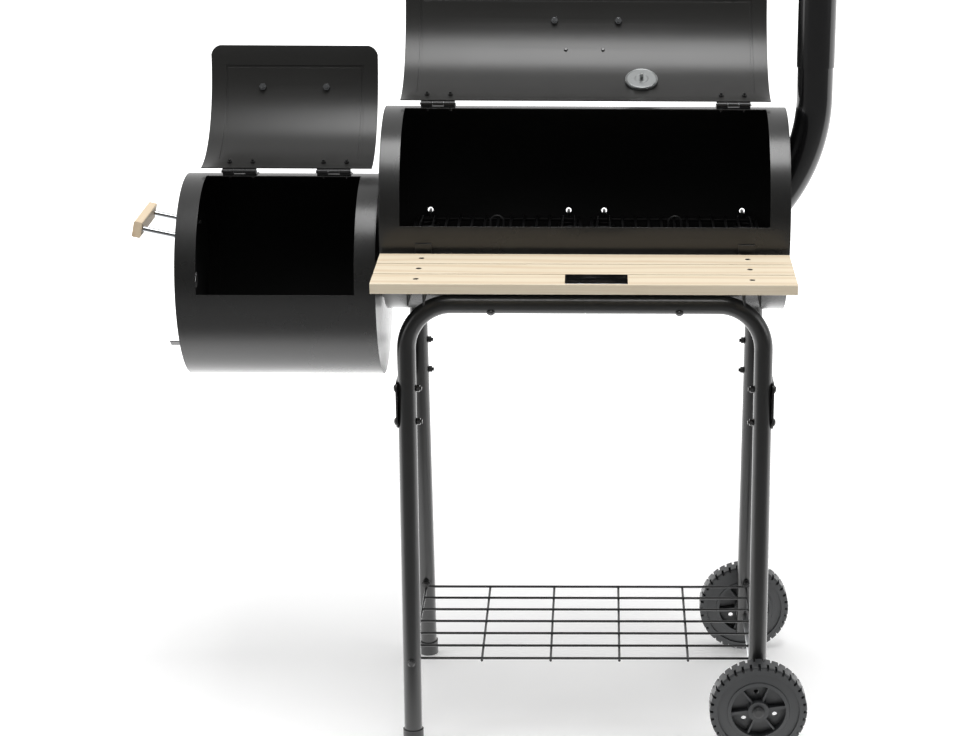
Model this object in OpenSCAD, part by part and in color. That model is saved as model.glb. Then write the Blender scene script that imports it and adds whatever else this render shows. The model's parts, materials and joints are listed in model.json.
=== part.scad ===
// Offset smoker: a barrel cooker with a side firebox, chimney, front shelf and wheeled stand.
// X runs along the barrels with the chimney at +X, Y runs from the shelf to the back, Z is up.
// The lids are drawn closed on their barrels and then swung open about their hinge pins.

/* [Barrels] */
// Outside diameter of the cooking barrel and of the firebox
barrel_d = 305; // [285:1:330]
// Length of the cooking barrel over its end caps
barrel_len = 600; // [560:1:720]
// Height of the cooking barrel's axis above the floor
barrel_z = 814; // [760:1:860]
// Thickness of the barrel, firebox, cap and lid sheet
sheet_t = 1.5; // [1.2:0.1:1.8]
// Length of the firebox over its end caps
firebox_len = 294; // [270:1:350]
// How far the firebox's axis lies below the cooking barrel's
firebox_drop = 104.5; // [95:0.5:112]
// Gap between the two barrels, filled by the throat spacer
firebox_gap = 8; // [6:1:14]
// Inside diameter of the throat that joins the two barrels
throat_d = 140; // [100:1:145]
// Width of the spacer ring around the throat
throat_ring_w = 16; // [14:1:18]
// Closed band at each end of the cooking barrel's mouth
barrel_band = 30; // [26:1:45]
// Closed band at each end of the firebox's mouth
firebox_band = 31; // [26:1:45]
// Angle of the mouth's lower lip, down from the top towards the shelf
lip_angle = 87; // [80:1:88]
// Width of the rim that each end cap turns inside its barrel
cap_rim = 18; // [12:1:24]

/* [Lids] */
// Gap between a barrel and its closed lid
lid_clear = 1.2; // [1:0.1:2]
// Angle that a lid covers, from the hinge to its free edge
lid_angle = 90; // [89.5:0.5:94]
// How far each end of the cooking lid passes its mouth
main_overhang = 7.3; // [5:0.1:12]
// How far each end of the firebox lid passes its mouth
firebox_overhang = 12.5; // [5:0.5:16]
// Radius of the lids' free corners
lid_corner_r = 18; // [10:1:26]
// Angle through which a lid swings from closed to resting open
lid_swing = 178; // [170:1:179]
// Inset of the pressed bead from the lid's ends
bead_inset = 24; // [18:1:36]
// Angle of the pressed bead's line next to the free edge
bead_angle = 78; // [74:1:82]
// Width of the pressed bead
bead_w = 6; // [4:0.5:8]
// Height to which the bead stands out of the sheet
bead_rise = 1; // [0.6:0.1:1.4]

/* [Hinges] */
// Height of the hinge pins above the top of their barrel
hinge_rise = 6.5; // [6:0.5:9]
// Width of one hinge along the barrel
hinge_w = 51; // [40:1:60]
// Distance of the cooking lid's hinges from the lid's middle
main_hinge_x = 221; // [150:1:235]
// Distance of the firebox lid's hinges from the lid's middle
firebox_hinge_x = 71; // [50:1:80]
// Diameter of a hinge pin
pin_d = 3.2; // [3:0.1:3.4]
// Outside diameter of a hinge knuckle
knuckle_d = 6.4; // [6.2:0.1:6.8]
// Thickness of a hinge leaf
leaf_t = 1.5; // [1.2:0.1:1.8]
// Angle of barrel that a hinge leaf covers
leaf_angle = 11; // [9:1:14]
// Distance between the two screws of one hinge leaf
leaf_screw_pitch = 35; // [26:1:38]

/* [Handles] */
// Length of the wooden grips
grip_len = 124; // [112:1:140]
// Height of the wooden grips
grip_h = 24; // [18:1:30]
// Thickness of the wooden grips
grip_t = 13; // [11:1:18]
// Distance between a handle's two rods
rod_pitch = 98; // [80:1:100]
// Diameter of the handle rods
rod_d = 8; // [6:0.5:10]
// Clear length of the handle rods outside the sheet
rod_reach = 70; // [45:1:80]
// Angle of the lid handles, down from the hinge
handle_angle = 66; // [56:1:70]
// Upward tilt of the firebox's side handle
side_handle_tilt = 12; // [0:1:20]
// Height of the side handle's rods above the firebox's axis, at the cap
side_handle_rise = 69; // [40:1:80]

/* [Thermometer and plates] */
// Place of the thermometer along the lid
thermo_x = 84; // [40:1:120]
// Angle of the thermometer, down from the hinge
thermo_angle = 24.5; // [20:0.5:34]
// Diameter of the thermometer's case
thermo_d = 56; // [50:1:64]
// Diameter of the lid's hole for the thermometer
thermo_hole_d = 44; // [38:1:45]
// Diameter of the thermometer's back nut
thermo_back_d = 49; // [47:1:49]
// Length and height of the bare plate on the lid
lid_plate = [86, 30]; // [16:1:120]
// Angle of the lid's plate, down from the hinge
lid_plate_angle = 48.5; // [44:0.5:52]
// Length and depth of the bare plate on the shelf
shelf_plate_size = [88, 48]; // [20:1:120]
// Place of the shelf plate's middle along the shelf
shelf_plate_x = 17; // [-60:1:60]
// Distance between the rivets of either plate
plate_rivet_pitch = 57; // [40:1:70]

/* [Chimney] */
// Outside diameter of the chimney's elbow
elbow_d = 54; // [48:1:60]
// Thickness of the chimney's tube
flue_t = 1.3; // [1.2:0.1:1.8]
// Radius of the elbow's bend, at its centre line
elbow_r = 260; // [220:1:300]
// Distance of the upright pipe's axis from the barrel's end
flue_out = 42; // [40:1:54]
// Height of the top of the bend above the barrel's axis
bend_top = 171; // [160:1:190]
// Height of the pipe's lower edge above the top of the bend
sleeve_up = 46; // [30:1:60]
// Overlap of the pipe over the elbow
sleeve_lap = 40; // [25:1:50]
// Height of the pipe's top above the barrel's axis
pipe_top = 424; // [330:1:460]
// How far the chimney's cap passes the pipe all round
cap_overhang = 4; // [2:0.5:8]

/* [Shelf] */
// Length of the shelf's slats
shelf_len = 597; // [560:1:700]
// Depth of one slat
slat_w = 52; // [44:1:56]
// Thickness of the slats
slat_t = 15; // [12:1:18]
// Gap between slats
slat_gap = 4.5; // [3:0.5:8]
// Gap between the barrel's front and the first slat
shelf_gap = 12; // [8:0.5:14]
// Height of the shelf's top below the barrel's axis
shelf_drop = 30; // [26:1:40]
// Distance of the brackets from the middle of the barrel
bracket_x = 236; // [190:1:262]
// Width and height of a bracket's channel
bracket_size = [24, 19]; // [14:1:32]

/* [Stand] */
// Diameter of the stand's tubes
tube_d = 28; // [25:0.5:32]
// Wall of the stand's tubes
tube_t = 1.5; // [1.2:0.1:2]
// Distance of the legs from the middle, along the barrel
leg_x = 267; // [240:1:275]
// Radius of the frames' bends, at the centre line
bend_r = 68; // [60:1:90]
// Distance of the frames' top bars from the barrel's axis, front to back
bar_y = 117; // [105:1:122]
// Distance of the feet from the barrel's axis, front to back
foot_y = 171; // [150:1:185]
// Height of the middle of the side straps
strap_z = 541; // [500:1:570]
// Height and thickness of the side straps
strap_size = [72, 2.5]; // [1.5:0.5:90]
// Distance between the two bolts at each end of a strap
strap_bolt_pitch = 51; // [40:1:56]
// Distance of the frames' bolts from the middle
frame_bolt_x = 140; // [110:1:170]
// Height and wall of the foot caps
foot_cap = [24, 1.8]; // [1.2:0.2:32]

/* [Wheels] */
// Diameter of the wheels
wheel_d = 150; // [140:1:160]
// Width of the wheels
wheel_w = 34; // [28:1:40]
// Gap between a wheel's hub and the leg
wheel_gap = 2; // [1.5:0.5:4]
// Diameter of the axle
axle_d = 10; // [8:0.5:12]
// How far the wheeled legs reach below the axle
leg_below_axle = 36; // [24:1:50]
// Number of tread lugs around each edge of a wheel
lug_count = 36; // [24:2:44]

/* [Rack] */
// Height of the rack's wires
rack_z = 131.5; // [110:0.5:180]
// Diameter of the rack's wires
rack_wire_d = 4; // [3:0.5:5]
// Number of long wires and of cross wires
rack_wires = [7, 6]; // [4:1:9]

/* [Grates] */
// Width and depth of one cooking grate
grate_size = [262, 244]; // [220:2:280]
// Distance of the cooking grates' middles from the barrel's middle
grate_x = 137; // [134:1:140]
// Distance of the hooks from the middle of their grate
hook_x = 109; // [80:1:112]
// Depth of the hook holes below the barrel's axis
hook_drop = 39.5; // [36:0.5:46]
// Diameter of the hooks' wire
hook_wire_d = 5; // [4:0.5:5.5]
// Diameter of the hook holes
hook_hole_d = 8.5; // [7:0.5:10]
// Diameter of the grates' frame wire
grate_frame_d = 6; // [5:0.5:7]
// Diameter of the grates' bars
grate_bar_d = 4; // [3:0.5:5]
// Spacing of the grates' bars
grate_pitch = 20; // [16:1:26]
// Depth of the cooking barrel's charcoal grate below the axis
charcoal_drop = 118; // [112:1:122]
// Depth of the firebox's charcoal grate below its axis
firebox_grate_drop = 100; // [90:1:110]

/* [Vent] */
// Diameter of the firebox's vent disc
vent_d = 124; // [110:1:130]
// Depth of the vent's pivot below the firebox's axis
vent_drop = 45; // [35:1:55]
// Diameter of the vent's holes
vent_hole_d = 24; // [18:1:26]
// Distance of the vent's holes from its pivot
vent_hole_r = 38; // [34:1:42]
// Angle of the vent's tab, from up towards the shelf
vent_tab_angle = 140; // [100:1:150]

/* [Hidden] */
$fn = 96;

// Clearances
slip = 0.2;         // between pieces that slide together and then stay
seat = 0.3;         // between pieces that rest on each other
running = 0.05;     // round a shaft or pin
cut = 1;            // how far a cutter passes the surface that it cuts

// Barrels
barrel_r = barrel_d / 2;
firebox_z = barrel_z - firebox_drop;
firebox_x = -(barrel_len + firebox_len) / 2 - firebox_gap;
throat_z = (barrel_z + firebox_z) / 2;
throat_bolt_r = (throat_d + throat_ring_w) / 2;
rim_slip = 0.1;
bolt_d = 6;
bolt_head_d = 12;
bolt_head_h = 3.5;
nut_d = 11;
nut_h = 5;
screw_d = 4;
screw_head_d = 8;
screw_head_h = 2.2;

// Lids
lid_in = barrel_r + lid_clear;
lid_out = lid_in + sheet_t;
main_mouth = barrel_len - 2 * barrel_band;
firebox_mouth = firebox_len - 2 * firebox_band;
main_lid_w = main_mouth + 2 * main_overhang;
firebox_lid_w = firebox_mouth + 2 * firebox_overhang;
hinge_z = barrel_r + hinge_rise;
firebox_lid_x = 4;   // the firebox's lid and hinges sit a little towards the cooking barrel
knuckle_r = knuckle_d / 2;
knuckle_gap = 0.4;
corner_ease = 0.4;    // makes the corner's arc meet the edges at a slight angle
bead_wall = 1;        // side walls of the bead
bead_start = 14;     // angle at which the bead begins, clear of the hinges
leaf_start = 1.6;    // angle at which a leaf starts beside its knuckles
nut_tail = 3;        // thread that shows past a nut

// Chimney
flue_x = barrel_len / 2 + flue_out;
elbow_out = elbow_d / 2;
elbow_in = elbow_out - flue_t;
pipe_in = elbow_out + slip;
pipe_out = pipe_in + flue_t;
flange_t = 2;
flange_x = barrel_len / 2;
entry_angle = acos(1 - flue_out / elbow_r);
entry_z = bend_top - elbow_r * sin(entry_angle);
ear_y = pipe_out + 11;
cap_t = 1.5;
pivot_d = 5;

// Handles
grip_seat = 8;       // depth of the rods' blind holes in a grip
grip_hole_slip = 0.1;

// Shelf
slat_step = slat_w + slat_gap;
shelf_back = -sqrt(pow(barrel_r, 2) - pow(shelf_drop, 2)) - shelf_gap;
shelf_front = shelf_back - 3 * slat_w - 2 * slat_gap;
bracket_t = 2;
bracket_front = shelf_front + 8;
tongue_angle = acos(-(shelf_drop - 6) / barrel_r);
tongue_w = 19;
notch_gap = 0.6;      // round a hook's end in a bracket

// Stand
tube_r = tube_d / 2;
bar_reach = barrel_r + tube_r + seat;
bar_z = barrel_z - sqrt(pow(bar_reach, 2) - pow(bar_y, 2));
splay = atan((foot_y - bar_y) / bar_z);
bar_angle = 180 - asin(bar_y / bar_reach);
foot_cap_h = foot_cap[0];
foot_cap_floor = 3;
axle_z = wheel_d / 2;
wheel_y = leg_y(axle_z) + tube_r + 2 * wheel_gap + wheel_w / 2;
axle_end = wheel_y + wheel_w / 2 + 7;
rack_bolt_z = rack_z + rack_wire_d / 2 + 3.4;

// Grates
hook_wire = hook_wire_d / 2;
hook_z = -hook_drop - (hook_hole_d - hook_wire_d) / 2 + slip;
hook_dip = 12;
hook_ring_z = hook_z - hook_dip;
hook_ring_r = 14.5;
hook_wall_y = sqrt(pow(barrel_r - sheet_t, 2) - pow(hook_drop, 2));
grate_frame = grate_frame_d / 2;
grate_bar = grate_bar_d / 2;
grate_z = hook_ring_z + hook_wire + seat + grate_frame;
hook_ring_y = grate_size[1] / 2 - grate_frame - hook_ring_r;

// The model's frame: the middle of the box around the whole object, on the floor
side_handle_end = (rod_reach + grip_t - grip_seat) * cos(side_handle_tilt)
    + grip_h / 2 * sin(side_handle_tilt);
left_end = firebox_x - firebox_len / 2 - side_handle_end;
right_end = flue_x + pipe_out + cap_overhang;
middle_x = (left_end + right_end) / 2;
middle_y = (axle_end + shelf_front) / 2;

// Hinges, thermometer and fastenings
leaf_middle = leaf_start + leaf_angle * 0.62;
thermo_rise = 11;     // height of the case above the lid
thermo_neck_t = 1.5;
// The back nut's face meets the lid's inside at its edge
thermo_back = sqrt(pow(lid_in, 2) - pow(thermo_back_d / 2, 2)) - slip;
thermo_back_t = 5;
flange_size = [elbow_d + 34, elbow_d / sin(entry_angle) + 40];
flange_z = entry_z + 5;
wood_head_d = 8;
wood_head_h = 2.4;
strap_bolt_z = [strap_z - strap_bolt_pitch / 2, strap_z + strap_bolt_pitch / 2];
wheel_leg_end = axle_z - leg_below_axle;
rack_eye_r = rack_bolt_z - rack_z;
rack_half = leg_y(rack_bolt_z + rack_eye_r + rack_wire_d / 2) - tube_r / cos(splay)
    - rack_wire_d / 2 - seat;

// Distance of a leg's centre line from the barrel's axis at height z
function leg_y(z) = bar_y + (bar_z - z) * tan(splay);

module at_floor() translate([-middle_x, -middle_y, 0]) children();
module at_barrel() translate([-middle_x, -middle_y, barrel_z]) children();
module at_firebox() translate([firebox_x - middle_x, -middle_y, firebox_z]) children();

// Turns local X to up, local Y to the front and local Z along the barrel
module around_axis() rotate([180, -90, 0]) children();

// Puts local Z along the outward radius at an angle down from the top towards the front
module radial(angle, x, r) translate([x, -r * sin(angle), r * cos(angle)])
    rotate([angle, 0, 0]) children();

// Swings what is drawn on a closed lid to the lid's resting place
module opened() translate([0, 0, hinge_z]) rotate([-lid_swing, 0, 0])
    translate([0, 0, -hinge_z]) children();

module rod_x(x0, x1, r) translate([x0, 0, 0]) rotate([0, 90, 0]) cylinder(h = x1 - x0, r = r);
module rod_y(y0, y1, r) translate([0, y0, 0]) rotate([-90, 0, 0]) cylinder(h = y1 - y0, r = r);

module tube_x(x0, x1, r, t) difference() {
    rod_x(x0, x1, r);
    rod_x(x0 - cut, x1 + cut, r - t);
}

// Part of a sheet rolled round the barrel's axis, from angle a0 to angle a1
module rolled(r, t, x0, x1, a0, a1) around_axis()
    rotate_extrude(angle = a1 - a0, start = a0) translate([r, x0]) square([t, x1 - x0]);

// Button-head bolt that points down from z = 0, its nut under a grip of given length
module bolt(grip, tail = nut_tail) {
    cylinder(h = bolt_head_h * 0.4, d = bolt_head_d);
    translate([0, 0, bolt_head_h * 0.4]) cylinder(h = bolt_head_h * 0.6, d1 = bolt_head_d, d2 = 7);
    translate([0, 0, -grip - nut_h - tail]) cylinder(h = grip + nut_h + tail, d = bolt_d);
    translate([0, 0, -grip - nut_h]) cylinder(h = nut_h, d = nut_d, $fn = 6);
}

// Small screw of the same form
module screw(grip, tail = nut_tail, nut = 3) {
    cylinder(h = screw_head_h, d1 = screw_head_d, d2 = screw_head_d * 0.6);
    translate([0, 0, -grip - nut - tail]) cylinder(h = grip + nut + tail, d = screw_d);
    translate([0, 0, -grip - nut]) cylinder(h = nut, d = 7.5, $fn = 6);
}

// ---- Barrels ----

module barrel_shell(len, mouth) difference() {
    tube_x(-len / 2 + sheet_t, len / 2 - sheet_t, barrel_r, sheet_t);
    rolled(barrel_r - 2 * sheet_t, 4 * sheet_t, -mouth / 2, mouth / 2, 1, lip_angle);
}

// End cap: a disc with a rolled edge and a rim turned inside the barrel
module end_cap(side, len) {
    rim_r = barrel_r - sheet_t - rim_slip;
    edge = side * (len / 2 - sheet_t);
    translate([side > 0 ? edge : edge - sheet_t, 0, 0]) rotate([0, 90, 0])
        cylinder(h = sheet_t, r = barrel_r);
    tube_x(min(edge, edge - side * cap_rim), max(edge, edge - side * cap_rim), rim_r, sheet_t);
}

module hook_holes() for (x = hook_places(), side = [-1, 1])
    translate([x, 0, -hook_drop]) rod_y(side > 0 ? barrel_r / 2 : -barrel_r - cut,
        side > 0 ? barrel_r + cut : -barrel_r / 2, hook_hole_d / 2);

function hook_places() = [for (g = [-1, 1], s = [-1, 1]) g * grate_x + s * hook_x];

module frame_bolt_places() for (x = [-1, 1], y = [0, 1])
    mirror([0, y, 0]) radial(bar_angle, x * frame_bolt_x, bar_reach + tube_r) children();

module hinge_screw_places(middle, spread, angle, r) for (x = [-1, 1], s = [-1, 1])
    radial(angle, middle + x * spread + s * leaf_screw_pitch / 2, r) children();

module through(d) translate([0, 0, -barrel_r / 2]) cylinder(h = barrel_r, d = d);

module main_barrel() color("#26282a") at_barrel() difference() {
    barrel_shell(barrel_len, main_mouth);
    hook_holes();
    frame_bolt_places() translate([0, 0, -tube_d]) through(bolt_d + 2 * slip);
    hinge_screw_places(0, main_hinge_x, -leaf_middle, barrel_r) cylinder(h = 20,
        d = screw_d + 2 * slip, center = true);
    for (x = [-1, 1]) {
        radial(tongue_angle, x * bracket_x, barrel_r) cube([tongue_w + 1, 5, 20], center = true);
        bracket_bolt_place(x) cylinder(h = 20, d = screw_d + 2 * slip, center = true);
    }
}

module main_left_cap() color("#26282a") at_barrel() difference() {
    end_cap(-1, barrel_len);
    translate([0, 0, throat_z - barrel_z]) throat_cut();
}

// Bore of the throat and the holes of its four bolts
module throat_cut() {
    reach = barrel_len + firebox_len;
    rod_x(-reach, reach, throat_d / 2);
    throat_bolt_places() rod_x(-reach, reach, bolt_d / 2 + slip);
}

module throat_bolt_places() for (a = [45:90:315])
    translate([0, throat_bolt_r * cos(a), throat_bolt_r * sin(a)]) children();

module main_right_cap() color("#26282a") at_barrel() difference() {
    end_cap(1, barrel_len);
    elbow_solid(elbow_in);
    flange_bolt_places() rod_x(-20, 20, screw_d / 2 + slip);
}

module firebox_barrel() color("#26282a") at_firebox() difference() {
    barrel_shell(firebox_len, firebox_mouth);
    hinge_screw_places(firebox_lid_x, firebox_hinge_x, -leaf_middle, barrel_r) cylinder(h = 20,
        d = screw_d + 2 * slip, center = true);
}

module firebox_right_cap() color("#26282a") at_firebox() difference() {
    end_cap(1, firebox_len);
    translate([0, 0, throat_z - firebox_z]) throat_cut();
}

// The left cap carries the vent's holes, the stud that the vent turns on and the side handle
module firebox_left_cap() color("#26282a") at_firebox() {
    difference() {
        end_cap(-1, firebox_len);
        at_vent() {
            vent_holes();
            translate([0, 0, -cut]) cylinder(h = 10, d = pivot_d, center = true);
        }
        at_side_handle() rod_places() cylinder(h = 40, d = bolt_d + 2 * slip, center = true);
    }
    at_vent() {
        translate([0, 0, -sheet_t]) cylinder(h = sheet_t + seat + 2 * sheet_t, d = pivot_d);
        translate([0, 0, 2 * seat + sheet_t]) cylinder(h = 1.6, d = 13);
        translate([0, 0, 2 * seat + sheet_t + 1.6]) cylinder(h = 1.6, d1 = 13, d2 = 7);
    }
}

module throat_spacer() color("#2c2e30") at_floor() translate([0, 0, throat_z]) difference() {
    rod_x(-barrel_len / 2 - firebox_gap, -barrel_len / 2, throat_d / 2 + throat_ring_w);
    throat_cut();
}

// ---- Hinges ----

module knuckles(shift, gap_side) {
    // The fixed leaf has two outer knuckles, the lid's leaf the one between them
    third = hinge_w / 3;
    spans = gap_side ? [[-third / 2 + knuckle_gap, third / 2 - knuckle_gap]]
        : [[-hinge_w / 2, -third / 2], [third / 2, hinge_w / 2]];
    for (s = spans) translate([shift, 0, hinge_z]) knuckle(s[0], s[1], gap_side);
}

// One knuckle with the web that stands down to its leaf, behind or in front of the pin
module knuckle(x0, x1, front) difference() {
    union() {
        rod_x(x0, x1, knuckle_r);
        foot = front ? hinge_rise - lid_clear - sheet_t : hinge_rise;
        translate([x0, front ? -knuckle_r : knuckle_r - leaf_t, -foot + slip])
            cube([x1 - x0, leaf_t, foot - slip]);
    }
    rod_x(x0 - cut, x1 + cut, pin_d / 2 + running);
}

module leaf(shift, r, a0, a1) rolled(r + 0.02, leaf_t, shift - hinge_w / 2, shift + hinge_w / 2, a0, a1);

module fixed_leaves(middle, spread) for (s = [-1, 1]) difference() {
    union() {
        leaf(middle + s * spread, barrel_r, -leaf_start - leaf_angle, -0.65);
        knuckles(middle + s * spread, false);
    }
    hinge_screw_places(middle, spread, -leaf_middle, barrel_r) cylinder(h = 20,
        d = screw_d + 2 * slip, center = true);
}

module fixed_hinge_leaves() color("#1d1e20") {
    at_barrel() fixed_leaves(0, main_hinge_x);
    at_firebox() fixed_leaves(firebox_lid_x, firebox_hinge_x);
}

module lid_leaves(middle, spread) for (s = [-1, 1]) difference() {
    union() {
        leaf(middle + s * spread, lid_out, 0.65, leaf_start + leaf_angle);
        knuckles(middle + s * spread, true);
    }
    hinge_screw_places(middle, spread, leaf_middle, lid_out) cylinder(h = 20,
        d = screw_d + 2 * slip, center = true);
    // Room for the fixed leaf's knuckles
    for (end = [-1, 1]) translate([middle + s * spread + end * hinge_w / 3, 0, hinge_z])
        rod_x(-hinge_w / 6 - knuckle_gap, hinge_w / 6 + knuckle_gap, knuckle_r + slip);
}

module main_lid_hinge_leaves() color("#1d1e20") at_barrel() opened() lid_leaves(0, main_hinge_x);
module firebox_lid_hinge_leaves() color("#1d1e20") at_firebox() opened()
    lid_leaves(firebox_lid_x, firebox_hinge_x);

module pins(middle, spread) for (s = [-1, 1]) translate([middle + s * spread, 0, hinge_z]) {
    rod_x(-hinge_w / 2 - 1.5, hinge_w / 2 + 1.5, pin_d / 2);
    for (side = [-1, 1]) translate([side * (hinge_w / 2 + 1), 0, 0]) rod_x(-0.5, 0.5, pin_d / 2 + 0.9);
}

module hinge_pins() color("#9a9c9e") {
    at_barrel() pins(0, main_hinge_x);
    at_firebox() pins(firebox_lid_x, firebox_hinge_x);
}

module fixed_screws(middle, spread) hinge_screw_places(middle, spread, -leaf_middle,
    barrel_r + leaf_t + 0.02) screw(leaf_t + sheet_t + slip);

module fixed_hinge_screws() color("#3a3b3d") {
    at_barrel() fixed_screws(0, main_hinge_x);
    at_firebox() fixed_screws(firebox_lid_x, firebox_hinge_x);
}

// ---- Lids ----

module lid_cut_corner(side, w) radial(lid_angle, side * (w / 2 - lid_corner_r), lid_out)
    translate([0, lid_corner_r, 0]) difference() {
        translate([side > 0 ? 0 : -lid_corner_r - cut, -lid_corner_r - cut, -10])
            cube([lid_corner_r + cut, lid_corner_r + cut, 20]);
        translate([0, 0, -11]) cylinder(h = 22, r = lid_corner_r + corner_ease);
    }

// Strip of a given half width along the bead's path: up both ends of the lid and along its free edge
module bead(w, r, t, half) difference() {
    side_x = w / 2 - bead_inset;
    half_angle = half / lid_out * 180 / PI;
    rolled(r, t, -side_x - half, side_x + half, bead_start - half_angle, bead_angle + half_angle);
    rolled(r - cut, t + 2 * cut, -side_x + half, side_x - half, 0, bead_angle - half_angle);
}

// Lid sheet with the bead pressed outwards; children are cut out of it
module lid_sheet(w) difference() {
    union() {
        rolled(lid_in, sheet_t, -w / 2, w / 2, 0.4, lid_angle);
        bead(w, lid_in + sheet_t / 2, bead_rise + sheet_t / 2, bead_w / 2);
    }
    bead(w, lid_in - cut, cut + bead_rise, bead_w / 2 - bead_wall);
    for (s = [-1, 1]) lid_cut_corner(s, w);
    radial(handle_angle, 0, lid_in) rod_places() cylinder(h = 20, d = bolt_d + 2 * slip,
        center = true);
    children();
}

module main_lid() color("#2a2c2d") at_barrel() opened() lid_sheet(main_lid_w) {
    hinge_screw_places(0, main_hinge_x, leaf_middle, lid_out) cylinder(h = 20,
        d = screw_d + 2 * slip, center = true);
    radial(thermo_angle, thermo_x, lid_out) cylinder(h = 20, d = thermo_hole_d, center = true);
    plate_rivet_places() cylinder(h = 20, d = 3 + 2 * slip, center = true);
}

module firebox_lid() color("#2a2c2d") at_firebox() opened() translate([firebox_lid_x, 0, 0])
    lid_sheet(firebox_lid_w) hinge_screw_places(0, firebox_hinge_x, leaf_middle, lid_out)
        cylinder(h = 20, d = screw_d + 2 * slip, center = true);

module lid_screws(middle, spread) hinge_screw_places(middle, spread, leaf_middle,
    lid_out + leaf_t + 0.02) screw(leaf_t + sheet_t + slip);

module main_lid_screws() color("#3a3b3d") at_barrel() opened() {
    lid_screws(0, main_hinge_x);
    plate_rivet_places() translate([0, 0, 1.1]) {
        cylinder(h = 1.2, d1 = 6, d2 = 3.6);
        translate([0, 0, -4.6]) cylinder(h = 4.6, d = 3);
        translate([0, 0, -5.2]) cylinder(h = 2, d1 = 3.4, d2 = 5.4);
    }
}

module firebox_lid_screws() color("#3a3b3d") at_firebox() opened()
    lid_screws(firebox_lid_x, firebox_hinge_x);

// ---- Handles: local Z points away from the sheet ----

module rod_places() for (s = [-1, 1]) translate([s * rod_pitch / 2, 0, 0]) children();

// Rod with a collar against the sheet and a thread and nut behind it
module handle_rods(tilt = 0) rod_places() {
    collar_d = rod_d + 5;
    lean = slip + collar_d / 2 * tan(tilt);
    translate([0, 0, lean]) cylinder(h = rod_reach - lean, d = rod_d);
    translate([0, 0, lean]) cylinder(h = 2, d = collar_d);
    translate([0, 0, -sheet_t - nut_h - nut_tail - lean])
        cylinder(h = sheet_t + nut_h + nut_tail + 2 * lean, d = bolt_d);
    translate([0, 0, -sheet_t - nut_h - lean]) cylinder(h = nut_h, d = nut_d, $fn = 6);
}

module handle_grip() translate([0, 0, rod_reach - grip_seat]) difference() {
    translate([-grip_len / 2, -grip_h / 2, 0]) grip_block();
    rod_places() translate([0, 0, -cut]) cylinder(h = grip_seat + cut + 0.3,
        d = rod_d + 2 * grip_hole_slip);
}

// Wooden block with its four long edges rounded
module grip_block() {
    r = 2;
    translate([0, r, 0]) cube([grip_len, grip_h - 2 * r, grip_t]);
    translate([0, 0, r]) cube([grip_len, grip_h, grip_t - 2 * r]);
    for (y = [r, grip_h - r], z = [r, grip_t - r]) translate([0, y, z]) rod_x(0, grip_len, r);
}

module at_side_handle() translate([-firebox_len / 2, 0, side_handle_rise])
    rotate([0, -90 + side_handle_tilt, 0]) rotate([0, 0, 90]) children();
module side_handle_grip() color("#d9bf94") at_firebox() at_side_handle() handle_grip();
module side_handle_rods() color("#b9bcbe") at_firebox() at_side_handle()
    handle_rods(side_handle_tilt);
module main_lid_grip() color("#d9bf94") at_barrel() opened() radial(handle_angle, 0, lid_out)
    handle_grip();
module main_lid_rods() color("#b9bcbe") at_barrel() opened() radial(handle_angle, 0, lid_out)
    handle_rods();
module firebox_lid_grip() color("#d9bf94") at_firebox() opened()
    radial(handle_angle, firebox_lid_x, lid_out) handle_grip();
module firebox_lid_rods() color("#b9bcbe") at_firebox() opened()
    radial(handle_angle, firebox_lid_x, lid_out) handle_rods();

// ---- Plates and thermometer ----

module plate_rivet_places() for (s = [-1, 1])
    radial(lid_plate_angle, s * plate_rivet_pitch / 2 - 3, lid_out) children();

module main_lid_plate() color("#c9ccce") at_barrel() opened() difference() {
    half = lid_plate[1] / 2 / lid_out * 180 / PI;
    rolled(lid_out + 0.02, 1, -lid_plate[0] / 2 - 3, lid_plate[0] / 2 - 3,
        lid_plate_angle - half, lid_plate_angle + half);
    plate_rivet_places() cylinder(h = 20, d = 3 + 2 * slip, center = true);
}

module at_thermometer() at_barrel() opened() radial(thermo_angle, thermo_x, 0) children();

module thermometer_case() color("#b9bcbe") at_thermometer() difference() {
    union() {
        translate([0, 0, lid_out - 3]) cylinder(h = thermo_rise + 3, d = thermo_d);
        translate([0, 0, thermo_back]) cylinder(h = lid_out - thermo_back, d = thermo_hole_d - 2 * slip);
    }
    // Follows the lid's curve, leaves the neck through its hole
    difference() {
        rotate([0, 90, 0]) cylinder(h = 2 * thermo_d, r = lid_out + slip, center = true);
        cylinder(h = 2 * lid_out, d = thermo_hole_d - 2 * slip);
    }
    translate([0, 0, lid_out + 2]) cylinder(h = thermo_rise, d = thermo_d - 4);
    cylinder(h = lid_out, d = thermo_hole_d - 2 * slip - 2 * thermo_neck_t);
    translate([0, 0, lid_out + 0.6]) cylinder(h = 3, d = 3.2);
}

module thermometer_dial() color("#f2f2ee") at_thermometer()
    translate([0, 0, lid_out + 2 + slip]) difference() {
        cylinder(h = 1.2, d = thermo_d - 4 - 2 * slip);
        translate([0, 0, -cut]) cylinder(h = 4, d = 3);
    }

module thermometer_needle() color("#b5261e") at_thermometer() translate([0, 0, lid_out + 2]) {
    translate([0, 0, -1]) cylinder(h = 4, d = 2.6);
    translate([0, 0, 2.2]) cylinder(h = 1.2, d = 6);
    translate([-0.7, -6, 2.4]) cube([1.4, 24, 0.8]);
}

module thermometer_glass() color("#dfe6e8", 0.4) at_thermometer()
    translate([0, 0, lid_out + thermo_rise - 2.4]) cylinder(h = 1.6, d = thermo_d - 4 - 2 * slip);

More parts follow.
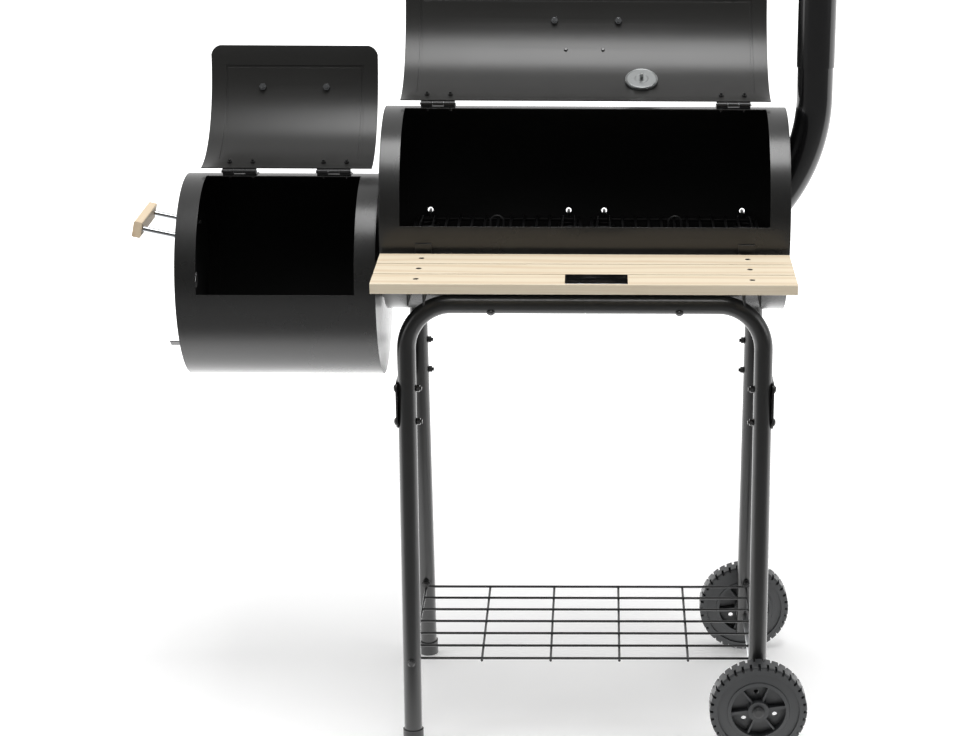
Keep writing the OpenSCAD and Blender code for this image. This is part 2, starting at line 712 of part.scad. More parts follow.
module thermometer_back() color("#9fa3a6") at_thermometer() {
    translate([0, 0, thermo_back - thermo_back_t]) {
        cylinder(h = 0.8, d = thermo_back_d - 3);
        difference() {
            translate([0, 0, 0.8]) cylinder(h = thermo_back_t - 0.8, d = thermo_back_d);
            translate([0, 0, 1.6]) cylinder(h = thermo_back_t, d = thermo_back_d - 3);
        }
        translate([0, 0, -7]) cylinder(h = 7, d = 6);
        translate([0, 0, -7]) sphere(d = 6);
    }
}

// ---- Chimney ----

// Solid bend and upright of the elbow, from inside the barrel to its open top
module elbow_solid(r, past = 0) {
    turn = entry_angle + 12;
    translate([flue_x - elbow_r, 0, bend_top]) rotate([90, 0, 0])
        rotate_extrude(angle = turn, start = -turn) translate([elbow_r, 0]) circle(r = r);
    translate([flue_x, 0, bend_top]) cylinder(h = sleeve_up + sleeve_lap + past, r = r);
}

module chimney_elbow() color("#1b1c1d") at_barrel() difference() {
    elbow_solid(elbow_out);
    elbow_solid(elbow_in, cut);
    translate([flange_x - 200, -100, -100]) cube([200 + flange_t, 200, 300]);
}

module flange_bolt_places() for (y = [-1, 1], z = [-1, 1])
    translate([flange_x, y * (flange_size[0] / 2 - 9), flange_z + z * (flange_size[1] / 2 - 9)])
        children();

module chimney_flange() color("#1b1c1d") at_barrel() difference() {
    translate([flange_x, -flange_size[0] / 2, flange_z - flange_size[1] / 2])
        cube([flange_t, flange_size[0], flange_size[1]]);
    elbow_solid(elbow_in);
    flange_bolt_places() rod_x(-20, 20, screw_d / 2 + slip);
}

module chimney_pipe() color("#1b1c1d") at_barrel() translate([flue_x, 0, 0]) {
    difference() {
        union() {
            translate([0, 0, bend_top + sleeve_up])
                cylinder(h = pipe_top - bend_top - sleeve_up, r = pipe_out);
            translate([-8, 0, pipe_top - 6]) cube([16, ear_y, 3]);
            translate([0, ear_y, pipe_top - 6]) cylinder(h = 3, r = 8);
        }
        translate([0, 0, bend_top + sleeve_up - cut]) cylinder(h = pipe_top, r = pipe_in);
    }
    translate([0, ear_y, pipe_top - 4]) cylinder(h = 4 + seat + cap_t + slip, d = pivot_d);
    translate([0, ear_y, pipe_top + seat + cap_t + slip]) cylinder(h = 2.4, d1 = 10, d2 = 7);
}

module chimney_cap() color("#1b1c1d") at_barrel() translate([flue_x, 0, pipe_top + seat]) {
    difference() {
        union() {
            cylinder(h = cap_t, r = pipe_out + cap_overhang);
            translate([-8, 0, 0]) cube([16, ear_y, cap_t]);
            translate([0, ear_y, 0]) cylinder(h = cap_t, r = 8);
        }
        translate([0, ear_y, -cut]) cylinder(h = 10, d = pivot_d + 2 * running);
    }
    translate([0, -pipe_out / 2, cap_t]) {
        cylinder(h = 4, d = 6);
        translate([0, 0, 4]) cylinder(h = 6, d1 = 9, d2 = 12);
    }
}

// ---- Vent: local X is up, local Y to the back, local Z away from the cap ----

module at_vent() translate([-firebox_len / 2, 0, -vent_drop]) rotate([0, -90, 0]) children();

module vent_holes() for (a = [45:90:315]) rotate([0, 0, a]) translate([vent_hole_r, 0, 0])
    cylinder(h = 12, d = vent_hole_d, center = true);

module vent_disc() color("#232527") at_firebox() at_vent() translate([0, 0, seat]) {
    tab_w = 14;
    tab_out = 8;
    tab_len = 30;
    difference() {
        union() {
            cylinder(h = sheet_t, d = vent_d);
            rotate([0, 0, -vent_tab_angle]) translate([0, -tab_w / 2, 0]) {
                cube([vent_d / 2 + tab_out, tab_w, sheet_t]);
                translate([vent_d / 2 + tab_out - sheet_t, 0, 0]) cube([sheet_t, tab_w, tab_len]);
            }
        }
        vent_holes();
        translate([0, 0, -cut]) cylinder(h = 5, d = pivot_d + 2 * running);
    }
}

// ---- Grates ----

// Wire hook through a barrel wall: a turned-down end, a shank, a drop and a ring that carries
module grate_hook(side) mirror([0, side < 0 ? 1 : 0, 0]) {
    end_y = hook_wall_y + sheet_t + 4 + hook_wire;
    bend_y = grate_size[1] / 2 + hook_wire + 3;
    translate([0, end_y, hook_z - 9]) cylinder(h = 9, r = hook_wire);
    translate([0, end_y, hook_z]) sphere(r = hook_wire);
    translate([0, 0, hook_z]) rod_y(bend_y, end_y, hook_wire);
    translate([0, bend_y, hook_z]) sphere(r = hook_wire);
    translate([0, bend_y, hook_ring_z]) cylinder(h = hook_dip, r = hook_wire);
    translate([0, bend_y, hook_ring_z]) sphere(r = hook_wire);
    translate([0, 0, hook_ring_z]) rod_y(hook_ring_y + hook_ring_r, bend_y, hook_wire);
    translate([0, hook_ring_y, hook_ring_z]) rotate_extrude() translate([hook_ring_r, 0])
        circle(r = hook_wire, $fn = 32);
}

module grate_hooks() color("#55585b") at_barrel() for (x = hook_places(), side = [-1, 1])
    translate([x, 0, 0]) grate_hook(side);

// Wire frame w by d with bars from front to back on top; its frame lies at z = 0
module wire_grate(w, d) {
    frame_x = w / 2 - grate_frame;
    frame_y = d / 2 - grate_frame;
    weld = 0.6;
    bar_z = grate_frame + grate_bar - weld;
    bars = floor((w / 2 - grate_frame_d) / grate_pitch);
    for (y = [-frame_y, 0, frame_y]) translate([0, y, 0]) rod_x(-frame_x, frame_x, grate_frame);
    for (x = [-frame_x, frame_x]) translate([x, 0, 0]) rod_y(-frame_y, frame_y, grate_frame);
    for (x = [-frame_x, frame_x], y = [-frame_y, frame_y]) translate([x, y, 0])
        sphere(r = grate_frame);
    for (i = [-bars:bars]) translate([i * grate_pitch, 0, bar_z])
        rod_y(-frame_y, frame_y, grate_bar);
    lift_loop(bar_z);
}

// Arch to lift a grate by, standing on two of its bars
module lift_loop(bar_z) for (y = [-0.2, 0.2] * grate_size[1]) translate([0, y, bar_z]) {
    r = grate_pitch / 2;
    rise = 8;
    for (s = [-1, 1]) translate([s * r, 0, 0]) cylinder(h = rise, r = grate_bar * 0.8);
    translate([0, 0, rise]) rotate([90, 0, 0]) rotate_extrude(angle = 180)
        translate([r, 0]) circle(r = grate_bar * 0.8, $fn = 32);
}

module cooking_grate(side) color("#6d7073") at_barrel() translate([side * grate_x, 0, grate_z])
    wire_grate(grate_size[0], grate_size[1]);

module cooking_grate_left() cooking_grate(-1);
module cooking_grate_right() cooking_grate(1);

// Depth of a grate whose frame rests inside the barrel at a given drop below its axis
function resting_depth(drop) = 2 * grate_frame
    + 2 * sqrt(pow(barrel_r - sheet_t - seat - grate_frame, 2) - pow(drop, 2));

module charcoal_grate() color("#55585b") at_barrel() translate([0, 0, -charcoal_drop])
    wire_grate(main_mouth - 40, resting_depth(charcoal_drop));

module firebox_grate() color("#55585b") at_firebox() translate([0, 0, -firebox_grate_drop])
    wire_grate(firebox_mouth - 16, resting_depth(firebox_grate_drop));

// ---- Shelf ----

module shelf_screw_places() for (x = [-1, 1], i = [0:2])
    translate([x * bracket_x, shelf_back - slat_w / 2 - i * slat_step, -shelf_drop]) children();

module shelf_slat(i) color("#e3cda4") at_barrel() difference() {
    r = 1.5;
    translate([-shelf_len / 2, shelf_back - slat_w - i * slat_step, -shelf_drop - slat_t]) {
        translate([0, r, 0]) cube([shelf_len, slat_w - 2 * r, slat_t]);
        translate([0, 0, r]) cube([shelf_len, slat_w, slat_t - 2 * r]);
        for (y = [r, slat_w - r], z = [r, slat_t - r]) translate([0, y, z]) rod_x(0, shelf_len, r);
    }
    shelf_screw_places() {
        translate([0, 0, -slat_t - cut]) cylinder(h = slat_t + 2 * cut, d = screw_d + 2 * slip);
        translate([0, 0, -wood_head_h - slip]) cylinder(h = wood_head_h + 2 * slip,
            d1 = screw_d, d2 = wood_head_d + 4 * slip);
    }
}

module shelf_slat_back() shelf_slat(0);
module shelf_slat_middle() shelf_slat(1);
module shelf_slat_front() shelf_slat(2);

module shelf_screws() color("#7d7466") at_barrel() shelf_screw_places() {
    translate([0, 0, -wood_head_h]) cylinder(h = wood_head_h, d1 = screw_d, d2 = wood_head_d);
    translate([0, 0, -slat_t - bracket_t - 5]) cylinder(h = slat_t + bracket_t + 5 - 1, d = screw_d);
}

module bracket_bolt_place(side) radial(118, side * bracket_x, barrel_r + bracket_t + slip)
    children();

// Channel under the slats with a hooked back plate against the barrel
module shelf_bracket(side) color("#1d1e20") at_barrel() difference() {
    w = bracket_size[0];
    h = bracket_size[1];
    top = -shelf_drop - slat_t;
    x0 = side * bracket_x - w / 2;
    union() {
        difference() {
            translate([x0, bracket_front, top - h]) cube([w, -bracket_front - barrel_r / 2, h]);
            translate([x0 + bracket_t, bracket_front - cut, top - h - cut])
                cube([w - 2 * bracket_t, barrel_d, h - bracket_t + cut]);
        }
        rolled(barrel_r + slip / 2, bracket_t, x0, x0 + w, tongue_angle - 2.5, 124);
    }
    rod_x(-barrel_len, barrel_len, barrel_r + slip / 2);
    shelf_screw_places() cylinder(h = 60, d = screw_d + 2 * slip, center = true);
    bracket_bolt_place(side) cylinder(h = 20, d = screw_d + 2 * slip, center = true);
    // Room for the hook whose end stands out beside the bracket
    translate([side * (grate_x + hook_x + 15 - hook_wire - notch_gap), -hook_wall_y - 6,
        hook_z - 4.5]) cube([30, 12, 9 + 2 * hook_wire + 2 * notch_gap], center = true);
}

module bracket_tongue(side) color("#1d1e20") at_barrel()
    radial(tongue_angle, side * bracket_x, barrel_r)
        translate([-tongue_w / 2, -0.8, -7]) cube([tongue_w, 1.6, 7 + bracket_t]);

module shelf_bracket_left() {
    shelf_bracket(-1);
    bracket_tongue(-1);
}

module shelf_bracket_right() {
    shelf_bracket(1);
    bracket_tongue(1);
}

module shelf_plate() color("#c9ccce") at_barrel() translate([shelf_plate_x - shelf_plate_size[0] / 2,
    shelf_back - 2 * slat_step - slat_w / 2 - shelf_plate_size[1] / 2, -shelf_drop])
        cube([shelf_plate_size[0], shelf_plate_size[1], 0.8]);

// ---- Stand ----

// Puts local Z = 0 at a frame's top bar with the legs running down local -Z
module at_frame(back) at_floor() mirror([0, back ? 1 : 0, 0]) translate([0, -bar_y, bar_z])
    rotate([-splay, 0, 0]) children();

// Solid left half of a frame: half the top bar, the bend and the leg
module frame_half(r, past = 0) {
    leg_len = bar_z / cos(splay) + tube_d;
    rod_x(bend_r - leg_x, -seat / 2 + past, r);
    translate([bend_r - leg_x, 0, -bend_r]) rotate([90, 0, 0])
        rotate_extrude(angle = 90, start = 90) translate([bend_r, 0]) circle(r = r);
    translate([-leg_x, 0, -leg_len - past]) cylinder(h = leg_len + past - bend_r, r = r);
}

module below(z) at_floor() translate([-barrel_len, -barrel_len, -barrel_len])
    cube([2 * barrel_len, 2 * barrel_len, barrel_len + z]);

module leg(right, back) color("#2b2d2f") difference() {
    at_frame(back) mirror([right ? 1 : 0, 0, 0]) difference() {
        frame_half(tube_r);
        frame_half(tube_r - tube_t, cut);
    }
    below(right ? wheel_leg_end : foot_cap_floor);
    at_barrel() frame_bolt_places() through(bolt_d + 2 * slip);
    at_floor() {
        for (z = strap_bolt_z) translate([0, (back ? 1 : -1) * leg_y(z), z])
            rod_x(-barrel_len, barrel_len, bolt_d / 2 + slip);
        for (x = [-1, 1]) translate([x * leg_x, 0, rack_bolt_z])
            rod_y(-barrel_len, barrel_len, bolt_d / 2 + slip);
        translate([leg_x, 0, axle_z]) rod_y(-barrel_len, barrel_len, axle_d / 2 + running);
    }
}

module front_leg_left() leg(false, false);
module front_leg_right() leg(true, false);
module rear_leg_left() leg(false, true);
module rear_leg_right() leg(true, true);

module frame_joiners() color("#2b2d2f") for (back = [false, true]) at_frame(back)
    tube_x(-45, 45, tube_r - tube_t - slip / 2, tube_t);

module side_straps() color("#1d1e20") at_floor() for (side = [-1, 1]) difference() {
    t = strap_size[1];
    h = strap_size[0];
    r = 12;
    x0 = side > 0 ? leg_x + tube_r + slip / 2 : -leg_x - tube_r - slip / 2 - t;
    reach = leg_y(strap_z) + tube_r - 2;
    translate([x0, 0, strap_z]) {
        translate([0, -reach + r, -h / 2]) cube([t, 2 * (reach - r), h]);
        translate([0, -reach, -h / 2 + r]) cube([t, 2 * reach, h - 2 * r]);
        for (y = [-1, 1], z = [-1, 1]) translate([0, y * (reach - r), z * (h / 2 - r)])
            rod_x(0, t, r);
    }
    for (z = strap_bolt_z, y = [-1, 1]) translate([0, y * leg_y(z), z])
        rod_x(-barrel_len, barrel_len, bolt_d / 2 + slip);
}

module stand_bolts() color("#1d1e20") at_floor() for (side = [0, 1]) mirror([side, 0, 0]) {
    strap_face = leg_x + tube_r + slip / 2 + strap_size[1];
    for (z = strap_bolt_z, y = [-1, 1]) translate([strap_face + slip / 2, y * leg_y(z), z])
        rotate([0, 90, 0]) bolt(strap_face - leg_x + tube_r + slip);
    tilt_gap = 0.6;
    face = leg_y(rack_bolt_z) + tube_r + tilt_gap;
    for (back = [0, 1]) mirror([0, back, 0]) translate([leg_x, -face, rack_bolt_z])
        rotate([90, 0, 0]) bolt(face - rack_half + rack_wire_d / 2 + slip);
}

// Frame, throat, bracket and chimney bolts, all into the barrels
module barrel_bolts() color("#3a3b3d") {
    at_barrel() {
        frame_bolt_places() translate([0, 0, slip / 2]) bolt(tube_d + seat + sheet_t + 2 * slip);
        for (x = [-1, 1]) bracket_bolt_place(x) screw(bracket_t + sheet_t + 2 * slip);
        flange_bolt_places() translate([flange_t, 0, 0]) rotate([0, 90, 0])
            screw(flange_t + sheet_t);
    }
    at_floor() translate([-barrel_len / 2 + sheet_t, 0, throat_z]) throat_bolt_places()
        rotate([0, 90, 0]) bolt(firebox_gap + 2 * sheet_t);
}

module tube_end_caps() color("#232527") for (back = [false, true]) {
    low = bar_z / cos(splay);
    hug = tube_r + slip / 2;
    difference() {
        at_frame(back) translate([-leg_x, 0, -low - tube_r])
            cylinder(h = tube_r + foot_cap_h, r = hug + foot_cap[1]);
        below(0);
        difference() {
            at_frame(back) translate([-leg_x, 0, -low - tube_r]) cylinder(h = 3 * tube_r
                + foot_cap_h, r = hug);
            below(foot_cap_floor);
        }
    }
    plug(back, tube_r, wheel_leg_end - 2.5, wheel_leg_end);
    plug(back, tube_r - tube_t - slip, wheel_leg_end, wheel_leg_end + 12);
}

// Slice of a wheeled leg's inside between two heights
module plug(back, r, z0, z1) intersection() {
    at_frame(back) translate([leg_x, 0, -bar_z / cos(splay) - tube_r])
        cylinder(h = bar_z / 2, r = r);
    at_floor() translate([0, -barrel_len, z0]) cube([barrel_len, 2 * barrel_len, z1 - z0]);
}

// ---- Rack ----

module bottom_rack() color("#1d1e20") at_floor() translate([0, 0, rack_z]) {
    r = rack_wire_d / 2;
    longs = rack_wires[0];
    crosses = rack_wires[1];
    end_gap = 1.2;
    for (i = [0:longs - 1]) translate([0, rack_half * (2 * i / (longs - 1) - 1), 0])
        rod_x(-leg_x, leg_x, r);
    for (i = [0:crosses - 1]) translate([leg_x * (2 * i / (crosses - 1) - 1), 0, -1.7 * r])
        rod_y(-rack_half - end_gap, rack_half + end_gap, r);
    for (x = [-1, 1], y = [-1, 1]) translate([x * leg_x, y * rack_half, rack_bolt_z - rack_z])
        difference() {
            rod_y(-0.9 * r, 0.9 * r, rack_eye_r + 0.85 * r);
            rod_y(-r, r, rack_eye_r - r);
        }
}

// ---- Axle and wheels ----

module axle() color("#8d9092") at_floor() translate([leg_x, 0, axle_z])
    rod_y(-axle_end + 2, axle_end - 2, axle_d / 2);

module axle_nuts() color("#1d1e20") at_floor() for (back = [0, 1]) mirror([0, back, 0])
    translate([leg_x, 0, axle_z]) {
        outer = wheel_y + wheel_w / 2 + seat;
        inner = wheel_y - wheel_w / 2 - seat;
        difference() {
            union() {
                rod_y(outer, axle_end - 2, 9);
                translate([0, axle_end - 2, 0]) rotate([-90, 0, 0]) cylinder(h = 2, r1 = 9, r2 = 6);
                rod_y(inner - 2, inner, 10);
            }
            rod_y(0, axle_end - 1.9, axle_d / 2 + running);
        }
    }

// Ring of the tyre: its edges are rounded
module tyre_section(r0, r1, w, e) {
    translate([r0, -w / 2]) square([r1 - r0 - e, w]);
    translate([r0, -w / 2 + e]) square([r1 - r0, w - 2 * e]);
    for (s = [-1, 1]) translate([r1 - e, s * (w / 2 - e)]) circle(r = e);
}

// Moulded wheel, local Z along its axle towards the shelf side
module wheel() {
    r = wheel_d / 2;
    w = wheel_w;
    hub_r = 0.215 * r;
    rim_r = 0.6 * r;
    web_t = 5;
    difference() {
        union() {
            difference() {
                rotate_extrude() tyre_section(0.84 * r, r, w, 3);
                for (i = [0:lug_count - 1], s = [0, 1])
                    rotate([0, 0, (i + s / 2) * 360 / lug_count]) mirror([0, 0, s])
                        translate([0.925 * r, -1.9, 0.12 * w]) cube([r, 3.8, w]);
            }
            rotate_extrude() tyre_section(rim_r, 0.86 * r, w - 6, 2);
            rotate_extrude() tyre_section(rim_r - 3, rim_r + 3, w - 3, 1);
            translate([0, 0, -web_t / 2]) cylinder(h = web_t, r = rim_r);
            for (a = [8:60:308]) rotate([0, 0, a]) translate([0, -1.5 - (a % 180 == 8 ? 1 : 0),
                -w / 2 + 5]) cube([rim_r, a % 180 == 8 ? 5 : 3, w - 10]);
            translate([0, 0, -w / 2]) cylinder(h = w, r = hub_r);
        }
        for (a = [98, -22, -142]) rotate([0, 0, a]) translate([0.37 * r, 0, 0])
            cylinder(h = 2 * w, d = 8, center = true);
        cylinder(h = 2 * w, d = axle_d + 2 * running, center = true);
    }
}

module placed_wheel(side) color("#333537") at_floor() translate([leg_x, side * wheel_y, axle_z])
    rotate([90, 0, 0]) wheel();

module wheel_front() placed_wheel(-1);
module wheel_rear() placed_wheel(1);

main_barrel();
main_left_cap();
main_right_cap();
firebox_barrel();
firebox_left_cap();
firebox_right_cap();
throat_spacer();
barrel_bolts();
fixed_hinge_leaves();
hinge_pins();
fixed_hinge_screws();
side_handle_grip();
side_handle_rods();
chimney_flange();
chimney_elbow();
chimney_pipe();
chimney_cap();
vent_disc();
grate_hooks();
cooking_grate_left();
cooking_grate_right();
charcoal_grate();
firebox_grate();
main_lid();
main_lid_hinge_leaves();
main_lid_screws();
main_lid_grip();
main_lid_rods();
main_lid_plate();
thermometer_case();
thermometer_dial();
thermometer_needle();
thermometer_glass();
thermometer_back();
firebox_lid();
firebox_lid_hinge_leaves();
firebox_lid_screws();
firebox_lid_grip();
firebox_lid_rods();
shelf_slat_back();
shelf_slat_middle();
shelf_slat_front();
shelf_bracket_left();
shelf_bracket_right();
shelf_screws();
shelf_plate();
front_leg_left();
front_leg_right();
rear_leg_left();
rear_leg_right();
frame_joiners();
side_straps();
stand_bolts();
tube_end_caps();
bottom_rack();
axle();
axle_nuts();
wheel_front();
wheel_rear();
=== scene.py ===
"""Looks of the offset smoker.

Finishes, small pieces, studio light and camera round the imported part.
"""

from __future__ import annotations

import json
import logging
import math
from dataclasses import dataclass, field
from enum import Enum

import bmesh  # noqa: E402
import bpy  # noqa: E402
from mathutils import Matrix, Vector  # noqa: E402

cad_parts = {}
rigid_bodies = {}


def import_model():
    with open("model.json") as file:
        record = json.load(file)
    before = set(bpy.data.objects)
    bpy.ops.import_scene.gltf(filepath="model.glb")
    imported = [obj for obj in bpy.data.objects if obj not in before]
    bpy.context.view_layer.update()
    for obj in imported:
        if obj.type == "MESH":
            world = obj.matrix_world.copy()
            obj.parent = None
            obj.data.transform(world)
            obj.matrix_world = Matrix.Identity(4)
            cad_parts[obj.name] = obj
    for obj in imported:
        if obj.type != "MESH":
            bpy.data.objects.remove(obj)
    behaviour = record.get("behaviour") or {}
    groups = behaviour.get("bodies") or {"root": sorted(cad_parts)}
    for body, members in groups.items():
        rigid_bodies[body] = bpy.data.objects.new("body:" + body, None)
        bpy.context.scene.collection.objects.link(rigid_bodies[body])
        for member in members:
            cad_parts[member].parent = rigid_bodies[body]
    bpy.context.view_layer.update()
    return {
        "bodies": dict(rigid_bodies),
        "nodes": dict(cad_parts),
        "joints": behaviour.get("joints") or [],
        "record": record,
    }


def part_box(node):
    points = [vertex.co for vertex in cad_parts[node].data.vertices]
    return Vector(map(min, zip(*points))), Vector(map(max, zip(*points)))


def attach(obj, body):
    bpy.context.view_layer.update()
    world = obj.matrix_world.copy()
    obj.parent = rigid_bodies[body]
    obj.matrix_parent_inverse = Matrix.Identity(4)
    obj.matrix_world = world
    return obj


LOG = logging.getLogger("smoker")
MM = 0.001
# The middle of the object's box, measured from the cooking barrel's middle
MIDDLE_X = -151.678
MIDDLE_Y = -51.173
# The barrels: radius, heights of their axes, and half lengths between the end caps
BARREL_R = 152.5
COOKING_Z = 814.0
COOKING_HALF = 299.2
FIREBOX_Z = 709.5
FIREBOX_HALF = 146.2
FIREBOX_X = -455.0
# Width that Blender's focal length in millimetres refers to
SENSOR_MM = 36.0
WHITE = (1.0, 1.0, 1.0, 1.0)

Triple = tuple[float, float, float]


def place(x: float, y: float, z: float) -> Vector:
    """A point in millimetres from the cooking barrel's middle, in the row frame.

    Args:
        x: Distance along the barrels, towards the chimney.
        y: Distance towards the back.
        z: Height above the floor.

    Returns:
        The point in metres.
    """
    return Vector(((x - MIDDLE_X) * MM, (y - MIDDLE_Y) * MM, z * MM))


class Coordinates(Enum):
    """Which directions a pattern's own X, Y and Z take."""

    ALONG_X = (1, 2, 0)
    ALONG_Y = (0, 2, 1)


# ---- Shader values as Python expressions ----


class Value:
    """A shader socket that takes part in Python arithmetic."""

    def __init__(self, graph: Graph, out: bpy.types.NodeSocket) -> None:
        """Wraps an output socket of the graph."""
        self.graph = graph
        self.out = out

    @property
    def is_vector(self) -> bool:
        """Whether the value is a vector."""
        return self.out.type == "VECTOR"

    def _combine(self, operation: str, first: Operand, second: Operand) -> Value:
        """Joins two operands with a Math node, or Vector Math for a vector.

        Args:
            operation: The node's operation.
            first: Its first input.
            second: Its second input.

        Returns:
            The result.
        """
        vector = any(isinstance(v, Value) and v.is_vector for v in (first, second))
        kind = "ShaderNodeVectorMath" if vector else "ShaderNodeMath"
        if vector:
            first, second = (
                (v,) * 3 if isinstance(v, (int, float)) else v for v in (first, second)
            )
        return self.graph.node(kind, {"operation": operation}, {0: first, 1: second})

    def __add__(self, other: Operand) -> Value:
        """self + other."""
        return self._combine("ADD", self, other)

    def __radd__(self, other: Operand) -> Value:
        """other + self."""
        return self._combine("ADD", other, self)

    def __sub__(self, other: Operand) -> Value:
        """self - other."""
        return self._combine("SUBTRACT", self, other)

    def __rsub__(self, other: Operand) -> Value:
        """other - self."""
        return self._combine("SUBTRACT", other, self)

    def __mul__(self, other: Operand) -> Value:
        """self * other."""
        return self._combine("MULTIPLY", self, other)

    def __rmul__(self, other: Operand) -> Value:
        """other * self."""
        return self._combine("MULTIPLY", other, self)

    def __truediv__(self, other: Operand) -> Value:
        """self / other."""
        return self._combine("DIVIDE", self, other)

    def __rtruediv__(self, other: Operand) -> Value:
        """other / self."""
        return self._combine("DIVIDE", other, self)

    def __pow__(self, other: Operand) -> Value:
        """self ** other."""
        return self._combine("POWER", self, other)

    def __neg__(self) -> Value:
        """-self."""
        return self * -1.0

    def __abs__(self) -> Value:
        """The value without its sign."""
        return self.graph.node("ShaderNodeMath", {"operation": "ABSOLUTE"}, {0: self})

    def least(self, other: Operand) -> Value:
        """The smaller of the two values."""
        return self._combine("MINIMUM", self, other)

    def most(self, other: Operand) -> Value:
        """The larger of the two values."""
        return self._combine("MAXIMUM", self, other)

    def part(self, index: int) -> Value:
        """One part of a vector: 0 is X, 1 is Y and 2 is Z."""
        return self.graph.node("ShaderNodeSeparateXYZ", {}, {0: self}, index)

    def rise(self, low: float, high: float) -> Value:
        """Smooth step from 0 at low to 1 at high; high may be the lower number.

        Args:
            low: Value at which the step is 0.
            high: Value at which the step is 1.

        Returns:
            The step.
        """
        flip = high < low
        return self.graph.node(
            "ShaderNodeMapRange",
            {"interpolation_type": "SMOOTHSTEP"},
            {
                "Value": self,
                "From Min": min(low, high),
                "From Max": max(low, high),
                "To Min": 1.0 if flip else 0.0,
                "To Max": 0.0 if flip else 1.0,
            },
        )


Operand = Value | float | Triple


class Graph:
    """A node tree that is written as expressions."""

    def __init__(self, tree: bpy.types.NodeTree) -> None:
        """Takes over a node tree and empties it."""
        self.tree = tree
        tree.nodes.clear()

    def node(
        self, kind: str, settings: dict, inputs: dict, out: int | str = 0
    ) -> Value:
        """Adds any node.

        Args:
            kind: The node's type.
            settings: Its properties.
            inputs: Input names or numbers, with a number, tuple or Value each.
            out: Which output is returned.

        Returns:
            The output as a Value.
        """
        made = self.tree.nodes.new(kind)
        for name, value in settings.items():
            setattr(made, name, value)
        for name, value in inputs.items():
            if isinstance(value, Value):
                self.tree.links.new(value.out, made.inputs[name])
            else:
                made.inputs[name].default_value = value
        return Value(self, made.outputs[out])

    def end(self, kind: str, surface: Value) -> None:
        """Ends the tree with an output node of a kind."""
        made = self.tree.nodes.new(kind)
        self.tree.links.new(surface.out, made.inputs["Surface"])

    def mix(self, share: Operand, low: Operand, high: Operand) -> Value:
        """Colour between two others.

        Args:
            share: How far from low to high, from 0 to 1.
            low: Colour at 0.
            high: Colour at 1.

        Returns:
            The mixed colour.
        """
        low, high = ((*v, 1.0) if isinstance(v, tuple) else v for v in (low, high))
        return self.node(
            "ShaderNodeMix", {"data_type": "RGBA"}, {0: share, 6: low, 7: high}, 2
        )

    def point(self) -> Value:
        """The surface point in the row frame, in metres."""
        return self.node("ShaderNodeTexCoord", {}, {}, "Object")

    def noise(self, where: Value, scale: float, detail: float = 2.0) -> Value:
        """Soft noise from 0 to 1.

        Args:
            where: Point that the noise is read at.
            scale: Number of blobs in a metre.
            detail: Number of finer layers.

        Returns:
            The noise.
        """
        return self.node(
            "ShaderNodeTexNoise",
            {},
            {"Vector": where, "Scale": scale, "Detail": detail},
        )

    def bump(self, height: Value, depth: float, edge: float) -> Value:
        """Normal of a fine relief over softly rounded edges.

        Args:
            height: The relief, from 0 to 1.
            depth: Its depth in metres.
            edge: Radius of the rounding at edges, in metres.

        Returns:
            The normal.
        """
        rounded = self.node("ShaderNodeBevel", {"samples": 4}, {"Radius": edge})
        return self.node(
            "ShaderNodeBump",
            {},
            {"Height": height, "Distance": depth, "Strength": 1.0, "Normal": rounded},
        )


# ---- Finishes ----


@dataclass(frozen=True)
class Finish:
    """How one material looks."""

    slot: str
    color: Triple
    roughness: float
    metallic: float = 0.0
    edge: float = 0.5 * MM

    def shade(self, graph: Graph) -> dict:
        """Inputs of the surface shader."""
        return {"Base Color": (*self.color, 1.0), "Roughness": self.roughness}

    def build(self) -> bpy.types.Material:
        """Makes the material for this finish.

        Returns:
            The material.
        """
        material = bpy.data.materials.new(self.slot)
        material.use_nodes = True
        graph = Graph(material.node_tree)
        inputs = {"Metallic": self.metallic, **self.shade(graph)}
        surface = graph.node("ShaderNodeBsdfPrincipled", {}, inputs)
        graph.end("ShaderNodeOutputMaterial", surface)
        return material


@dataclass(frozen=True)
class Paint(Finish):
    """Sprayed or baked paint with a light orange peel and uneven sheen."""

    peel: float = 0.03 * MM
    peel_scale: float = 900.0
    unevenness: float = 0.06
    shine: float = 0.5
    # Colour of the barrels' inner faces: painted shade, far darker than the paint
    # outside
    painted_inside_shade: Triple | None = None
    inside_dullness: float = 0.38
    cloud_scale: float = 9.0
    darkest: float = 0.9
    lightest: float = 1.12

    def shade(self, graph: Graph) -> dict:
        """Cloudy colour and sheen over an orange peel, with painted shade and more
        roughness inside the barrels.

        Args:
            graph: The material's nodes.

        Returns:
            Inputs of the surface shader.
        """
        point = graph.point()
        cloud = graph.noise(point, self.cloud_scale, 4.0)
        dark = tuple(self.darkest * c for c in self.color)
        light = tuple(self.lightest * c for c in self.color)
        color = graph.mix(cloud, dark, light)
        rough = (cloud - 0.5) * self.unevenness + self.roughness
        # Painted shade: the inner faces take the much darker colour, and more roughness
        if self.painted_inside_shade:
            within = self.within_barrels(point)
            color = graph.mix(within, color, self.painted_inside_shade)
            rough = rough + within * self.inside_dullness
        peel = graph.noise(point, self.peel_scale, 1.0)
        return {
            "Base Color": color,
            "Roughness": rough,
            "Normal": graph.bump(peel, self.peel, self.edge),
            "Specular IOR Level": self.shine,
        }

    def within_barrels(self, point: Value) -> Value:
        """Mask of the barrels' inner faces, where shade is painted into the colour.

        Args:
            point: The surface point.

        Returns:
            1 on the inner faces and 0 outside them.
        """
        shares = []
        for x, z, half in (
            (0.0, COOKING_Z, COOKING_HALF),
            (FIREBOX_X, FIREBOX_Z, FIREBOX_HALF),
        ):
            middle = place(x, 0.0, z)
            across = point.part(1) - middle.y
            up = point.part(2) - middle.z
            radius = (across * across + up * up) ** 0.5
            near = radius.rise((BARREL_R - 0.5) * MM, (BARREL_R - 1.0) * MM)
            along = abs(point.part(0) - middle.x)
            shares.append(near * along.rise((half + 0.3) * MM, half * MM))
        return shares[0].most(shares[1])


